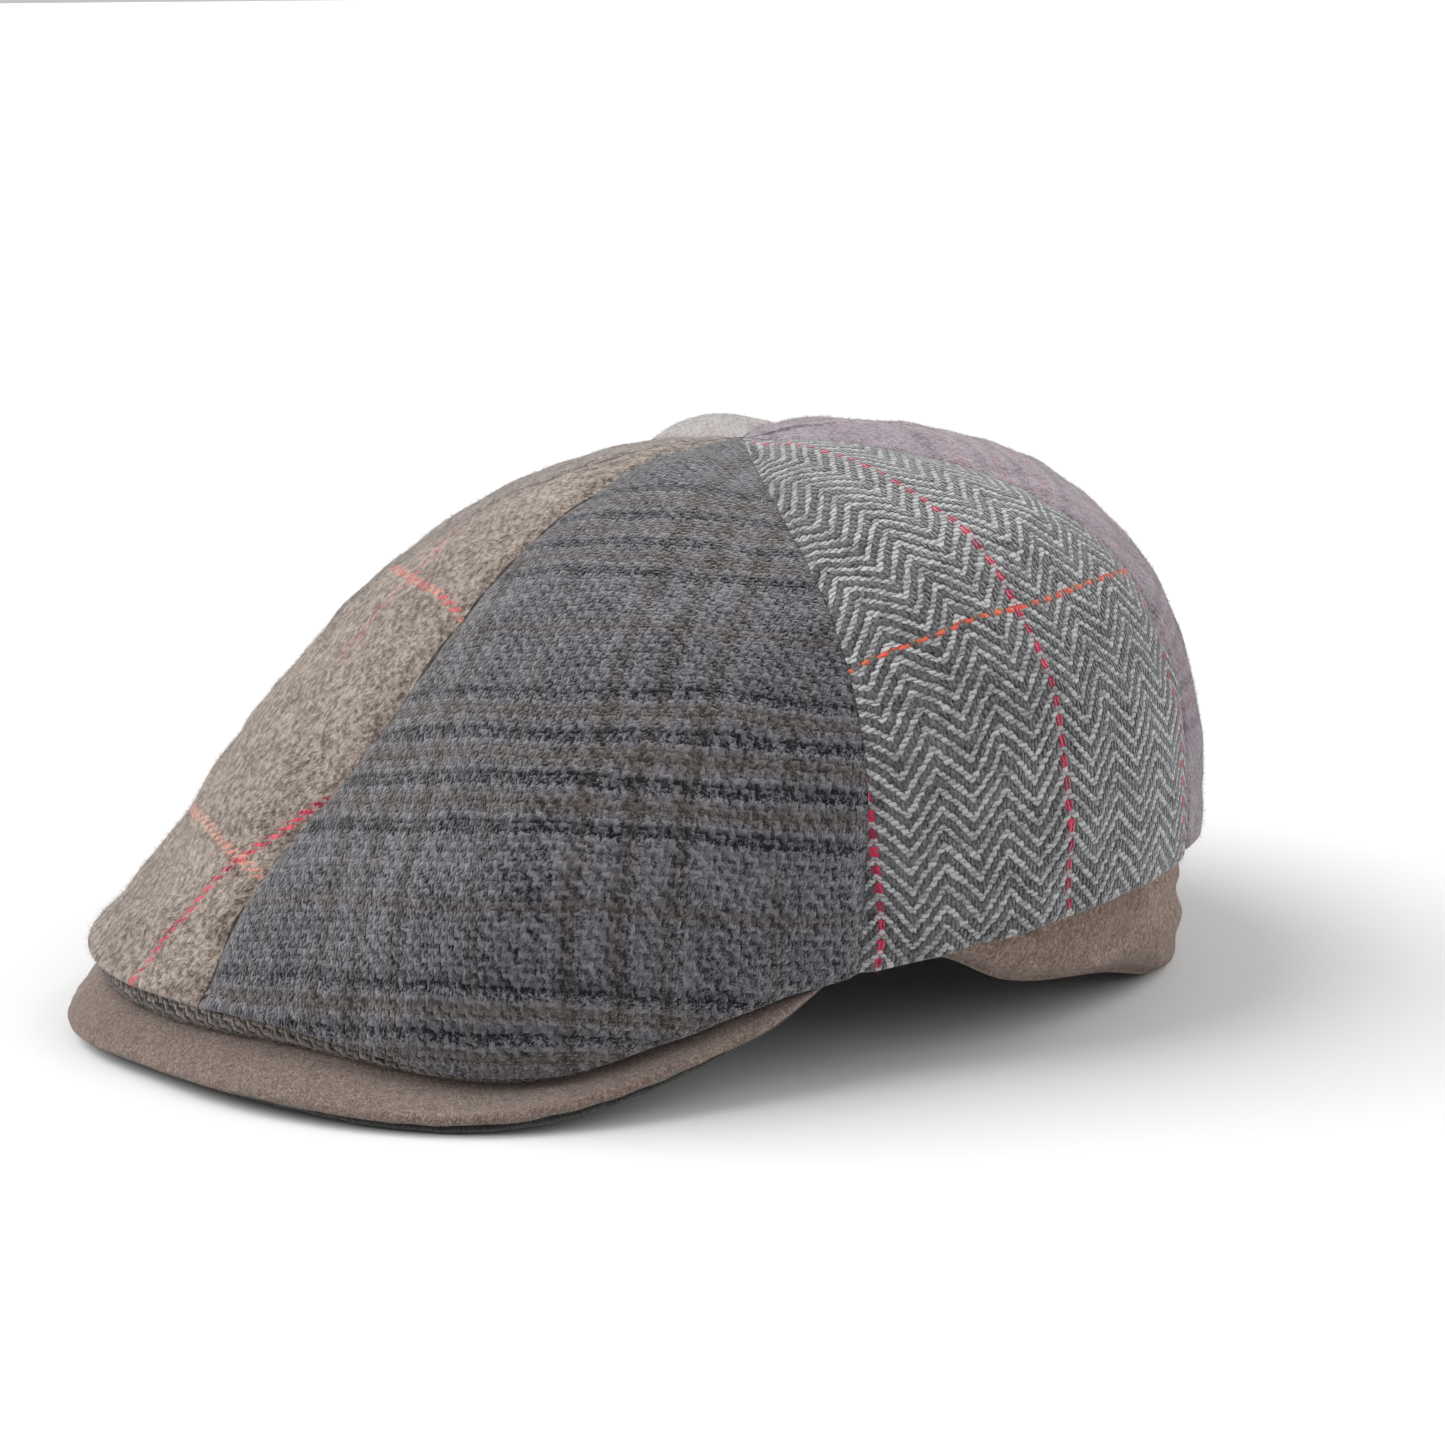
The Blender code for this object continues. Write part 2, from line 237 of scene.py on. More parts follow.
def smooth_curve(places, values, place):
    """A smooth curve through the values, level at both ends."""
    places = np.array(places, float)
    values = np.array(values, float)
    steps = np.diff(places)
    slopes = np.diff(values) / steps
    tangents = np.zeros(len(places))
    tangents[1:-1] = (slopes[:-1] * steps[1:] + slopes[1:] * steps[:-1]) / (steps[1:] + steps[:-1])
    place = np.clip(place, places[0], places[-1])
    i = np.clip(np.searchsorted(places, place, side="right") - 1, 0, len(steps) - 1)
    t = (place - places[i]) / steps[i]
    start = (2 * t**3 - 3 * t**2 + 1) * values[i] + (t**3 - 2 * t**2 + t) * steps[i] * tangents[i]
    end = (3 * t**2 - 2 * t**3) * values[i + 1] + (t**3 - t**2) * steps[i] * tangents[i + 1]
    return start + end


def table_curve(rows, name, place):
    """One column of a table as a smooth curve over the table's first column."""
    return smooth_curve([row[0] for row in rows], [getattr(row, name) for row in rows], place)


def column(rows, name, angle):
    """One column of a table, read at any angle; both sides of the cap are alike."""
    return table_curve(rows, name, np.abs((np.asarray(angle, float) + 180) % 360 - 180))


def seam_angle(name, run):
    return table_curve(SEAM_ROWS, name, run)


def direction(angle):
    """The level direction that leaves the apex at this angle."""
    turn = np.radians(np.asarray(angle, float))
    return np.stack([np.sin(turn), -np.cos(turn), np.zeros_like(turn)], -1)


UPWARD = np.array([0, 0, 1.0])


def place(angle, reach, height):
    """A point at this angle, reach and height from the foot of the apex."""
    return APEX + direction(angle) * reach[..., None] + height[..., None] * UPWARD


def unit(vectors):
    length = np.linalg.norm(vectors, axis=-1, keepdims=True)
    return vectors / np.maximum(length, 1e-12)


def local_reach(angle):
    """The reach that the named sizes give at this angle, before a row's share."""
    cosine = np.cos(np.radians(angle))
    end = np.where(cosine > 0, FRONT_REACH, BACK_REACH)
    return end * cosine**2 + HALF_WIDTH * (1 - cosine**2)


def crown_reach(angle):
    return column(CROWN_ROWS, "reach", angle) * local_reach(angle)


def crown_edge_height(angle):
    return column(CROWN_ROWS, "edge_height", angle) * CROWN_HEIGHT


def crown_profile(angle, run):
    """Reach and height down one side of the crown: a Bezier curve from apex to lower edge."""
    reach = crown_reach(angle)
    edge = crown_edge_height(angle)
    bulge = column(CROWN_ROWS, "bulge", angle) * HALF_WIDTH
    flank = column(CROWN_ROWS, "flank", angle) * CROWN_HEIGHT
    top_run = column(CROWN_ROWS, "top_run", angle) * reach
    left = 1 - run
    first, second, third, last = left**3, 3 * left**2 * run, 3 * left * run**2, run**3
    across = second * top_run + third * (reach + bulge) + last * reach
    height = (first + second) * CROWN_HEIGHT + third * (edge + flank) + last * edge
    return across, height


def apex_place():
    """The apex stands where the cap's middle, from peak to back, falls on the origin."""
    front = float(crown_reach(0) + column(PEAK_ROWS, "reach", 0) * PEAK_REACH)
    back = float(crown_profile(180, np.linspace(0, 1, PROFILE_STEPS))[0].max())
    return np.array([0, (front - back) / 2, 0])


APEX = apex_place()


def plain_crown(angle, run):
    reach, height = crown_profile(angle, run)
    return place(angle, reach, height)


def crown_normal(angle, run):
    """The outward normal of the plain crown, from two short steps."""
    run = np.maximum(run, 2 * SHORT_RUN)
    down = plain_crown(angle, np.minimum(run + SHORT_RUN, 1)) - plain_crown(angle, run - SHORT_RUN)
    around = plain_crown(angle + SHORT_ANGLE, run) - plain_crown(angle - SHORT_ANGLE, run)
    return unit(np.cross(down, around))


def cloth_length(angle, run):
    """How long the cloth is from the apex down to this run."""
    shares = np.linspace(0, 1, PROFILE_STEPS)
    across, height = crown_profile(angle[..., None], run[..., None] * shares)
    return np.hypot(np.diff(across), np.diff(height)).sum(-1)


def laid_flat(angle, run, middle):
    """The panel laid flat: metres across from its middle line, and down from its tip."""
    length = np.maximum(cloth_length(angle, run), 1e-6)
    turn = np.radians(angle - middle) * crown_profile(angle, run)[0] / length
    return length * np.sin(turn), length * np.cos(turn)


def seam_distance(angle, run):
    """How far along the cloth the nearest seam lies."""
    turn = (angle + 180) % 360 - 180
    gaps = [np.abs(np.abs(turn) - seam_angle("side", run))]
    gaps += [np.abs(turn - seam_angle(name, run)) for name in ("front", "back")]
    gaps += [np.abs(turn + seam_angle(name, run)) for name in ("right_front", "right_back")]
    return np.radians(np.minimum.reduce(gaps)) * crown_profile(angle, run)[0]


def ripple(points, seed, length=RIPPLE_LENGTH):
    """Gentle random unevenness between -1 and 1, the same each run."""
    chance = np.random.default_rng(seed)
    total = np.zeros(points.shape[:-1])
    for _ in range(RIPPLE_WAVES):
        heading = unit(chance.normal(size=3))
        stretch = chance.uniform(0.6, 1.8)
        phase = chance.uniform(0, 2 * math.pi)
        total += np.sin(points @ heading * (2 * math.pi / (length * stretch)) + phase)
    return total / math.sqrt(RIPPLE_WAVES)


def crown_relief(angle, run):
    """How far the cloth stands out: it swells between the seams and has a few dents."""
    gap = seam_distance(angle, run)
    fade = 1 - EDGE_FLATTENING * run**4
    height = SWELL * (1 - np.exp(-((gap / SWELL_SPREAD) ** 2)) - SWELL_SHARE_BELOW) * fade
    begun = np.minimum(run / VALLEY_START_RUN, 1)
    height -= SEAM_VALLEY * np.exp(-((gap / SEAM_HALF_WIDTH) ** 2)) * begun
    reach = crown_profile(angle, run)[0]
    for dent in DENT_ROWS:
        turn = (angle - dent.angle + 180) % 360 - 180
        across = np.radians(turn) * reach / (dent.across * HALF_WIDTH)
        along = (run - dent.run) * crown_reach(angle) / (dent.along * HALF_WIDTH)
        height += dent.depth * SWELL * np.exp(-(across**2) - along**2)
    return height


def parabola(start, middle, end, share, middle_share):
    """The parabola from start to end that passes its middle value at middle_share."""
    left = 1 - middle_share
    pull = (middle - left**2 * start - middle_share**2 * end) / (2 * middle_share * left)
    return (1 - share) ** 2 * start + 2 * share * (1 - share) * pull + share**2 * end


def brow_reach(angle):
    """The peak's inner edge, an oval round the forehead."""
    across = np.sin(np.radians(angle)) / BROW_HALF_WIDTH
    along = np.cos(np.radians(angle)) / BROW_REACH
    return 1 / np.hypot(across, along)


def peak_rim_reach(angle):
    return crown_reach(angle) + column(PEAK_ROWS, "reach", angle) * PEAK_REACH


def peak_surface(angle, across):
    """The top of the peak, from its rim (across 0) to the forehead (across 1)."""
    heights = [column(PEAK_ROWS, name, angle) * CROWN_HEIGHT for name in ("rim", "seat", "brow")]
    reaches = [peak_rim_reach(angle), crown_reach(angle) - WELT_SET_BACK, brow_reach(angle)]
    return place(angle, parabola(*reaches, across, SEAT_ACROSS), parabola(*heights, across, SEAT_ACROSS))


def peak_normal(angle, across):
    across = np.clip(across, SHORT_RUN, 1 - SHORT_RUN)
    inward = peak_surface(angle, across + SHORT_RUN) - peak_surface(angle, across - SHORT_RUN)
    around = peak_surface(angle + SHORT_ANGLE, across) - peak_surface(angle - SHORT_ANGLE, across)
    return unit(np.cross(around, inward))


def grid_of(rows, columns):
    """Two arrays, one constant along each row and one along each column."""
    return np.meshgrid(rows, columns, indexing="ij")


def edge_eased(count):
    """Shares from 0 to 1 that lie closer together near both ends."""
    share = np.linspace(0, 1, count)
    return share - PANEL_EASING * np.sin(2 * math.pi * share) / (2 * math.pi)


def fold_rows(edge, normal, down, wall):
    """Rows that carry the cloth round its folded edge, from its outer to its inner face."""
    middle = edge - normal * wall / 2
    turns = np.linspace(0, math.pi, FOLD_STEPS + 2)[1:-1]
    return [middle + (normal * math.cos(t) + down * math.sin(t)) * wall / 2 for t in turns]


# A closed mesh with its cloth coordinates; outer_faces counts the faces on its outer side
Wall = namedtuple("Wall", "points faces marks outer_faces")


def closed_wall(outer, inner, fold, marks):
    """A wall: outer rows, its fold, then the inner rows back. Its outer faces come first."""
    rows = np.concatenate([outer, np.array(fold).reshape(-1, *outer.shape[1:]), inner[::-1]])
    count, width = rows.shape[:2]
    edge_mark = np.repeat(marks[-1:], len(fold), axis=0)
    all_marks = np.concatenate([marks, edge_mark, marks[::-1]])
    index = np.arange(count * width).reshape(count, width)
    after = np.roll(index, -1, axis=0)
    faces = np.stack([index[:, :-1], after[:, :-1], after[:, 1:], index[:, 1:]], -1).reshape(-1, 4)
    faces = [tuple(face) for face in faces.tolist()]
    faces += side_caps(index, len(outer), len(fold))
    outer_faces = (len(outer) + len(fold) // 2) * (width - 1)
    return Wall(rows.reshape(-1, 3), faces, all_marks.reshape(-1, 2), outer_faces)


def side_caps(index, outer_rows, fold_rows_count):
    """Faces that close both ends of the wall's tube."""
    caps = []
    last = len(index) - 1
    for side, flip in ((0, False), (-1, True)):
        line = index[:, side].tolist()
        for i in range(outer_rows - 1):
            face = [line[i], line[last - i], line[last - i - 1], line[i + 1]]
            caps.append(tuple(face[::-1] if flip else face))
        nose = line[outer_rows - 1:outer_rows + fold_rows_count + 1]
        caps.append(tuple(nose if flip else nose[::-1]))
    return caps


def new_object(name, data):
    made = bpy.data.objects.new(name, data)
    bpy.context.scene.collection.objects.link(made)
    return made


def fill_inputs(tree, node, inputs):
    """Fill a node's inputs with numbers, colours, sockets of other nodes or values of a finish."""
    for key, value in inputs.items():
        value = getattr(value, "socket", value)
        if hasattr(value, "is_output"):
            tree.links.new(value, node.inputs[key])
        else:
            node.inputs[key].default_value = value


def new_node(tree, kind, inputs=(), **settings):
    made = tree.nodes.new(kind)
    for name, setting in settings.items():
        setattr(made, name, setting)
    fill_inputs(tree, made, dict(inputs))
    return made


# Loose fibres of a cloth: how many per square metre, their length, half width at the root, and the
# largest lean in radians
Fibres = namedtuple("Fibres", "density length radius lean")

# The share of a fibre that is sunk in the cloth, and its smallest and largest scale
FIBRE_ROOT = 0.15
FIBRE_SIZES = (0.45, 1.25)
FIBRE_SOCKETS = {"Geometry": "Geometry", "Density": "Float", "Length": "Float", "Radius": "Float",
                 "Lean": "Float", "Seed": "Int", "Material": "Material"}


def empty_fibre_group():
    group = bpy.data.node_groups.new("fibres", "GeometryNodeTree")
    for name, kind in FIBRE_SOCKETS.items():
        group.interface.new_socket(name, in_out="INPUT", socket_type="NodeSocket" + kind)
    group.interface.new_socket("Geometry", in_out="OUTPUT", socket_type="NodeSocketGeometry")
    return group


def planted_fibre(add, given):
    """One tapered fibre with its root a little below the cloth."""
    fibre = add("GeometryNodeMeshCone", {
        "Vertices": 3, "Radius Top": 0.0, "Radius Bottom": given["Radius"], "Depth": given["Length"]})
    sink = add("ShaderNodeMath", {0: given["Length"], 1: -FIBRE_ROOT}, operation="MULTIPLY")
    offset = add("ShaderNodeCombineXYZ", {"Z": sink.outputs[0]})
    planted = add("GeometryNodeTransform", {
        "Geometry": fibre.outputs["Mesh"], "Translation": offset.outputs[0]})
    return planted.outputs[0]


def fibre_lean(add, given):
    """A random turn for each fibre: a lean both ways, and any turn about its own line."""
    less = add("ShaderNodeMath", {0: given["Lean"], 1: -1.0}, operation="MULTIPLY")
    low = add("ShaderNodeCombineXYZ", {0: less.outputs[0], 1: less.outputs[0], 2: -math.pi})
    high = add("ShaderNodeCombineXYZ", {0: given["Lean"], 1: given["Lean"], 2: math.pi})
    lean = add("FunctionNodeRandomValue", {
        "Min": low.outputs[0], "Max": high.outputs[0], "Seed": given["Seed"]}, data_type="FLOAT_VECTOR")
    return add("FunctionNodeEulerToRotation", {0: lean.outputs[0]}).outputs[0]


def fibre_group():
    """Nodes that stand short tapered fibres on the outer faces of a cloth."""
    group = empty_fibre_group()
    add = partial(new_node, group)
    given = add("NodeGroupInput").outputs
    outer = add("GeometryNodeInputNamedAttribute", {"Name": "outer"}, data_type="BOOLEAN")
    roots = add("GeometryNodeDistributePointsOnFaces", {
        "Mesh": given["Geometry"], "Selection": outer.outputs["Attribute"],
        "Density": given["Density"], "Seed": given["Seed"]})
    turned = add("FunctionNodeRotateRotation", {
        "Rotation": roots.outputs["Rotation"], "Rotate By": fibre_lean(add, given)},
        rotation_space="LOCAL")
    smallest, largest = FIBRE_SIZES
    sizes = add("FunctionNodeRandomValue", {
        2: smallest, 3: largest, "Seed": given["Seed"]}, data_type="FLOAT")
    placed = add("GeometryNodeInstanceOnPoints", {
        "Points": roots.outputs["Points"], "Instance": planted_fibre(add, given),
        "Rotation": turned.outputs[0], "Scale": sizes.outputs[1]})
    real = add("GeometryNodeRealizeInstances", {0: placed.outputs[0]})
    coloured = add("GeometryNodeSetMaterial", {
        "Geometry": real.outputs[0], "Material": given["Material"]})
    joined = add("GeometryNodeJoinGeometry")
    group.links.new(coloured.outputs[0], joined.inputs[0])
    group.links.new(given["Geometry"], joined.inputs[0])
    add("NodeGroupOutput", {0: joined.outputs[0]})
    return group


def add_fibres(piece, group, fibres, seed):
    """Give a piece its loose fibres as plain faces, with no modifier left."""
    finish = piece.data.materials[0]
    modifier = piece.modifiers.new("fibres", "NODES")
    modifier.node_group = group
    given = {"Density": fibres.density, "Length": fibres.length, "Radius": fibres.radius,
             "Lean": fibres.lean, "Seed": seed, "Material": finish}
    for item in group.interface.items_tree:
        if item.in_out == "INPUT" and item.name in given:
            modifier[item.identifier] = given[item.name]
    seen = piece.evaluated_get(bpy.context.evaluated_depsgraph_get())
    mesh = bpy.data.meshes.new_from_object(seen)
    piece.modifiers.clear()
    mesh.materials.clear()
    mesh.materials.append(finish)
    mesh.polygons.foreach_set("material_index", np.zeros(len(mesh.polygons), np.int32))
    piece.data = mesh


# Edges are shaded sharp from this angle
SHARP_ANGLE = 70


def make_piece(node, wall, finish, group, fibres, seed):
    """A finished mesh with its cloth coordinates, which stands for one node of the cap."""
    name = node + "_cloth"
    mesh = bpy.data.meshes.new(name)
    mesh.from_pydata(wall.points.tolist(), [], wall.faces)
    cloth = mesh.uv_layers.new(name="cloth")
    corner = np.zeros(len(mesh.loops), np.int32)
    mesh.loops.foreach_get("vertex_index", corner)
    cloth.data.foreach_set("uv", wall.marks[corner].astype(np.float32).ravel())
    outer = mesh.attributes.new("outer", "BOOLEAN", "FACE")
    outer.data.foreach_set("value", np.arange(len(wall.faces)) < wall.outer_faces)
    mesh.shade_smooth()
    mesh.set_sharp_from_angle(angle=math.radians(SHARP_ANGLE))
    mesh.materials.append(finish.material)
    piece = new_object(name, mesh)
    if fibres:
        add_fibres(piece, group, fibres, seed)
    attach(piece, "root")
    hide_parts(node)


def left(name):
    return lambda run: seam_angle(name, run)


def right(name):
    return lambda run: -seam_angle(name, run)


def right_from_behind(name):
    return lambda run: 360 - seam_angle(name, run)


# Each panel's two seams, and how its cloth lies: its middle angle, and how its crosswise threads bow
# (per metre) about a line beside the middle
Panel = namedtuple("Panel", "start end middle bow bow_centre")
PANELS = {
    "front_panel": Panel(right("right_front"), left("front"), 0, 0.0, 0.0),
    "left_front_panel": Panel(left("front"), left("side"), 47, 0.0, 0.0),
    "left_rear_panel": Panel(left("side"), left("back"), 109, 6.2, 0.004),
    "rear_panel": Panel(left("back"), right_from_behind("right_back"), 180, 4.0, 0.0),
    "right_rear_panel": Panel(right("right_back"), right("side"), -109, 6.2, -0.004),
    "right_front_panel": Panel(right("side"), right("right_front"), -47, 0.0, 0.0),
}

# The front panel's cloth is cut askew: how far its crimson line lies from the panel's middle
Skew = namedtuple("Skew", "along across")
SKEW_ROWS = [
    Skew(0.0, 0.0),
    Skew(0.050, 0.0150),
    Skew(0.100, 0.0295),
    Skew(0.118, 0.0305),
    Skew(0.134, 0.0253),
    Skew(0.150, 0.0180),
    Skew(0.172, 0.0185),
]

# The plaid's rows lie in planes that lean outwards, level with the panel's middle line
ROW_LEAN = 20.0
ROW_OUTWARD_ANGLE = 57.0


def row_length(points, middle):
    """How far down the panel's middle line the plane of each point's row meets it."""
    lean = math.radians(ROW_LEAN)
    outward = direction(math.copysign(ROW_OUTWARD_ANGLE, middle))
    down = outward * math.sin(lean) - np.array([0, 0, math.cos(lean)])
    runs = np.linspace(0, 1, MIDDLE_LINE_STEPS)
    line = np.full(runs.shape, float(middle))
    return np.interp(points @ down, plain_crown(line, runs) @ down, cloth_length(line, runs))


def cloth_marks(name, angle, run, points):
    """Where each point lies on the panel's cloth: across its threads and down them, in metres."""
    panel = PANELS[name]
    across, along = laid_flat(angle, run, panel.middle)
    if name in ("left_front_panel", "right_front_panel"):
        along = row_length(points, panel.middle)
    if name == "front_panel":
        across = across - table_curve(SKEW_ROWS, "across", along)
    return np.stack([across, along + panel.bow * (across - panel.bow_centre) ** 2], -1)


def panel_mesh(name, seed):
    """One crown panel between its seams, with a folded lower edge."""
    start_seam, end_seam = PANELS[name][:2]
    run_line = np.linspace(PANEL_TIP_RUN, 1, PANEL_MEASURE_STEPS)
    middle = (start_seam(run_line) + end_seam(run_line)) / 2
    length = float(cloth_length(middle, run_line).max())
    width = float((np.radians(end_seam(run_line) - start_seam(run_line))
                   * crown_profile(middle, run_line)[0]).max())
    runs = np.linspace(PANEL_TIP_RUN, 1, round(length / CLOTH_STEP))
    shares = edge_eased(round(width / CLOTH_STEP))
    run, share = grid_of(runs, shares)
    half_gap = np.degrees(SEAM_GAP / 2 / crown_profile(middle.mean(), run)[0])
    start, end = start_seam(run) + half_gap, end_seam(run) - half_gap
    angle = start + (end - start) * share
    base = plain_crown(angle, run)
    normal = crown_normal(angle, run)
    uneven = RIPPLE * ripple(base, seed) * np.minimum(run / RIPPLE_START_RUN, 1)
    outer = base + normal * (crown_relief(angle, run) + uneven)[..., None]
    inner = outer - normal * PANEL_WALL
    down = unit(outer[-1] - outer[-3])
    marks = cloth_marks(name, angle, run, base)
    fold = fold_rows(outer[-1], normal[-1], down, PANEL_WALL)
    return closed_wall(outer, inner, fold, marks)


def math_node(operation):
    """A method that joins two numbers by a Math node."""
    return lambda self, other: self.math(operation, self, other)


def swapped_math_node(operation):
    return lambda self, other: self.math(operation, other, self)


class Value:
    """A number, colour or vector in a finish. Arithmetic on numbers adds Math nodes."""

    def __init__(self, finish, socket):
        self.finish = finish
        self.socket = socket

    def math(self, operation, *values):
        return self.finish.node("ShaderNodeMath", dict(enumerate(values)), operation=operation)

    __add__ = math_node("ADD")
    __radd__ = swapped_math_node("ADD")
    __sub__ = math_node("SUBTRACT")
    __rsub__ = swapped_math_node("SUBTRACT")
    __mul__ = math_node("MULTIPLY")
    __rmul__ = swapped_math_node("MULTIPLY")
    __truediv__ = math_node("DIVIDE")
    __mod__ = math_node("FLOORED_MODULO")
    __pow__ = math_node("POWER")
    __lt__ = math_node("LESS_THAN")
    top = math_node("MAXIMUM")

    def __abs__(self):
        return self.math("ABSOLUTE", self)

    def floor(self):
        return self.math("FLOOR", self)

    def fract(self):
        return self.math("FRACT", self)

    def clamped(self):
        return self.finish.node("ShaderNodeClamp", {0: self, 1: 0.0, 2: 1.0})

    def arch(self):
        """A round hump over the range from 0 to 1."""
        return self * (1 - self) * 4

    def ramp(self, low, high):
        """0 below low, 1 above high, and smooth between them."""
        inputs = {"Value": self, "From Min": low, "From Max": high}
        return self.finish.node("ShaderNodeMapRange", inputs, interpolation_type="SMOOTHSTEP")


class Finish:
    """A cloth's material, made from nodes that read the cloth's own coordinates."""

    def __init__(self, slot):
        self.slot = slot
        self.material = bpy.data.materials.new(slot)
        self.material.use_nodes = True
        self.tree = self.material.node_tree
        self.shader = self.tree.nodes["Principled BSDF"]
        cloth = self.node("ShaderNodeUVMap", uv_map="cloth")
        self.u = self.node("ShaderNodeSeparateXYZ", {0: cloth}, output="X")
        self.v = self.node("ShaderNodeSeparateXYZ", {0: cloth}, output="Y")
        self.place = self.node("ShaderNodeTexCoord", output="Object")

    def node(self, kind, inputs=(), output=0, **settings):
        return Value(self, new_node(self.tree, kind, inputs, **settings).outputs[output])

    def mix(self, share, start, end):
        inputs = {0: share, 6: solid(start), 7: solid(end)}
        return self.node("ShaderNodeMix", inputs, output=2, data_type="RGBA")

    def noise(self, vector, scale, detail=2.0, roughness=0.5):
        inputs = {"Vector": vector, "Scale": scale, "Detail": detail, "Roughness": roughness}
        return self.node("ShaderNodeTexNoise", inputs)

    def drawn_out(self, width, length, layer):
        """The cloth's coordinates in these widths and lengths, for noise in strokes of that size."""
        return self.node("ShaderNodeCombineXYZ", {0: self.u / width, 1: self.v / length, 2: layer})

    def chance(self, *numbers):
        """A random number from 0 to 1 for each set of numbers."""
        spot = self.node("ShaderNodeCombineXYZ", dict(enumerate(numbers)))
        return self.node("ShaderNodeTexWhiteNoise", {"Vector": spot}, noise_dimensions="3D")

    def wander(self, value, amount, scale, seed):
        """The value, moved a little by noise, so that threads aren't ruler straight."""
        spot = self.node("ShaderNodeVectorMath", {0: self.place, 1: (seed, seed, seed)}, operation="ADD")
        return value + (self.noise(spot, scale) - 0.5) * amount

    def bump(self, height, distance):
        return self.node("ShaderNodeBump", {"Height": height, "Distance": distance, "Strength": 1.0})


def solid(colour):
    """A colour with its alpha, or a value as it is."""
    return colour if isinstance(colour, Value) else (*colour, 1.0)


def linear(red, green, blue):
    """A colour given as screen values from 0 to 255, as linear light."""
    shares = [value / 255 for value in (red, green, blue)]
    return tuple(s / 12.92 if s < 0.04045 else ((s + 0.055) / 1.055) ** 2.4 for s in shares)


def wool(finish, colour, height, bump, sheen=0.30):
    """A finish with what all woollen cloths share: a dull fuzzy surface with a raised weave."""
    fill_inputs(finish.tree, finish.shader, {
        "Base Color": colour, "Roughness": 0.95, "Specular IOR Level": 0.1, "Sheen Weight": sheen,
        "Sheen Roughness": 0.35, "Normal": finish.bump(height, bump)})
    return finish


# A weave: how far apart its lengthwise threads (end) and crosswise rows (pick) lie, how many threads
# go by before the diagonal turns back (0 never turns it), where it turns, and whether only the
# crosswise yarn is light (otherwise every second thread is). Red lines lie three repeats of the
# herringbone apart.
Weave = namedtuple("Weave", "end pick turn origin crosswise")
RED_LINE_PLACE = -0.0028
HERRINGBONE = Weave(0.00078, 0.00099, 8, RED_LINE_PLACE, True)
RED_LINE_STEP = 6 * HERRINGBONE.turn * HERRINGBONE.end
CHECK_TWILL = Weave(0.00075, 0.00092, 0, 0.0, False)
FINE_TWILL = Weave(0.00060, 0.00066, 0, 0.0, False)

# How far the cloth as a whole drifts from its straight lay
DRIFT = 0.0045

# How fine the noise is, per metre: of that drift, of wandering threads, the pepper of hairs, knobs,
# soft clouds and the blotches of felt
DRIFT_SCALE = 38
WANDER_SCALE = 700
PEPPER_SCALE = 1900
KNOB_SCALE = 620
CLOUD_SCALE = 95
BLOTCH_SCALE = 60

# Width and length of a loose hair, and of a strand of the herringbone's light yarn
HAIR_SIZE = (0.0005, 0.0012)
STRAND_SIZE = (0.0011, 0.00035)

# How strongly a cloth shows its weave, its loose hairs, its knobs and its soft clouds, how far its
# threads wander (in metres), and how strong the sheen of its nap is. Its weave and knobs also darken
# the colour in their hollows: painted shade.
Hand = namedtuple("Hand", "weave hair knobs clouds wander sheen")

# A coloured line: its two colours, whether it runs crosswise, where it lies, how far apart such lines
# lie, half width, strength, and where along itself it begins and ends
Line = namedtuple("Line", "colour second crosswise place period half_width strength begin end")
LINE_FADE = 0.01
LINE_RAGGEDNESS = 0.0006

# Lines in groups: where the first lies, how far apart, how many, and how far apart the groups lie
Group = namedtuple("Group", "start line_step lines group_step")
PLAID_ROWS = Group(0.0361, 0.0095, 4, 0.0585)
PLAID_COLUMNS = Group(0.0002, 0.0082, 4, 0.0495)

# The plaid's lines: how ragged their edges are, and their half widths
PLAID_RAGGEDNESS = 0.0026
DEEP_ROW = 0.0013
BROWN_ROW = 0.0015
BROWN_COLUMN = 0.0013
THIN_ROW = 0.0011
THIN_COLUMN = 0.0008
PALE_LINE = 0.0010

# How light the brown yarn still is in its shadows
BROWN_SHADOW = 0.3

# A twill at every spot: whether the lengthwise thread is on top, how light the cloth is (its yarns'
# tones, with painted shade in the hollows between the yarns), how high it stands, and a random number
# for each stretch of thread
Woven = namedtuple("Woven", "warp_up level height chance")


def light_strokes(finish, slope, along, lengthwise, chance):
    """Light crosswise yarn in slanting strokes of broken strands, over dark lengthwise yarn, with
    painted shade: each strand darker towards its ends and the dark yarn lighter where it stands high.
    """
    stroke = ((slope % 4 - 1.9) / 2.1).arch().top(0).ramp(0.05, 0.75)
    strands = finish.noise(finish.drawn_out(*STRAND_SIZE, 0.2), 1.0, 2.0, 0.6).ramp(0.25, 0.7)
    # Painted shade: each light strand darkens towards the ends of its row
    light = stroke * (along.fract().arch().ramp(0.0, 0.8) * 0.6 + 0.4)
    light = light * (chance**1.5 * 0.8 + 0.38 + strands * 0.3)
    # Painted shade: the dark lengthwise yarn is lighter where it stands high and darker in the hollows
    # beside it
    return light + lengthwise * 0.16 + 0.05


